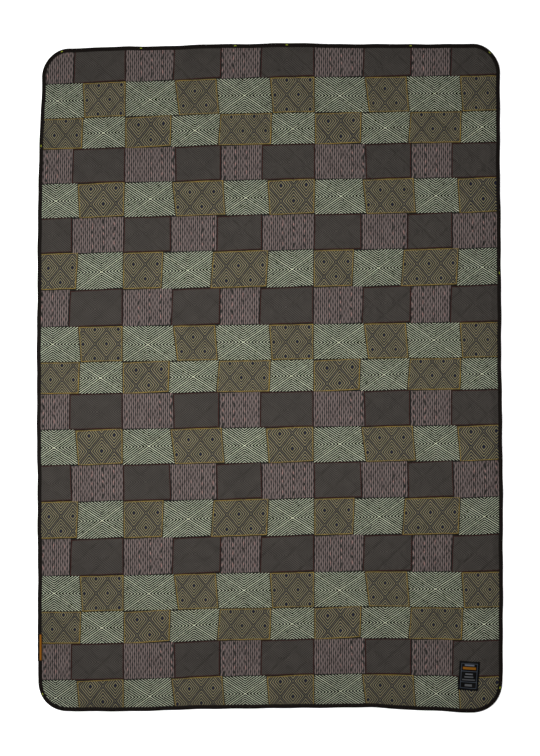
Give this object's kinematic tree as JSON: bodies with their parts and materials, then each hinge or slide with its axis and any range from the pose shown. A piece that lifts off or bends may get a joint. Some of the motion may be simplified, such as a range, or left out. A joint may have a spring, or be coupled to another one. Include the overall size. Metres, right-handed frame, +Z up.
{
  "type": "camp blanket",
  "caption": "Quilted rectangular camp blanket spread flat, with rounded corners, a patchwork-style printed face and a dark bound edge; it folds in half lengthwise.",
  "frame": {"origin": "centre of the underside, on the ground the blanket is spread on", "axes": "+X across the blanket to the right, +Y along it to its top edge, +Z up out of its face"},
  "size_m": [1.372, 1.956, 0.0111],
  "materials": {
    "printed_shell": "fine woven polyester ripstop, heat-printed with line patterns, soft sheen",
    "back_lining": "plain dark woven polyester taffeta, soft sheen",
    "batting_fibre": "needled polyester fibre, matt",
    "binding_tape": "black woven folded binding tape, matt",
    "quilting_thread": "dark spun polyester thread",
    "binding_thread": "black spun polyester thread",
    "tack_thread": "bright yellow-green polyester thread, slight sheen",
    "tab_webbing": "flat woven tab, orange with black selvedges",
    "label_cloth": "black woven damask label with grey and orange yarns",
    "label_thread": "black spun polyester thread"
  },
  "bodies": {
    "left_half": {"face_shell_left": "printed_shell", "batting_left": "batting_fibre", "back_shell_left": "back_lining", "edge_binding_left": "binding_tape", "binding_seam_left": "binding_thread", "quilting_rising_left": "quilting_thread", "quilting_falling_left": "quilting_thread", "bar_tacks_left": "tack_thread", "side_tab": "tab_webbing", "side_tab_seam": "binding_thread"},
    "right_half": {"face_shell_right": "printed_shell", "batting_right": "batting_fibre", "back_shell_right": "back_lining", "edge_binding_right": "binding_tape", "binding_seam_right": "binding_thread", "quilting_rising_right": "quilting_thread", "quilting_falling_right": "quilting_thread", "bar_tacks_right": "tack_thread", "label_patch": "label_cloth", "label_seam": "label_thread"}
  },
  "joints": [
    {"name": "half_fold", "type": "hinge", "parent": "left_half", "child": "right_half", "pos_m": [0, 0, 0.0112], "axis": [0, -1, 0], "range_deg": [0, 179.9]}
  ]
}
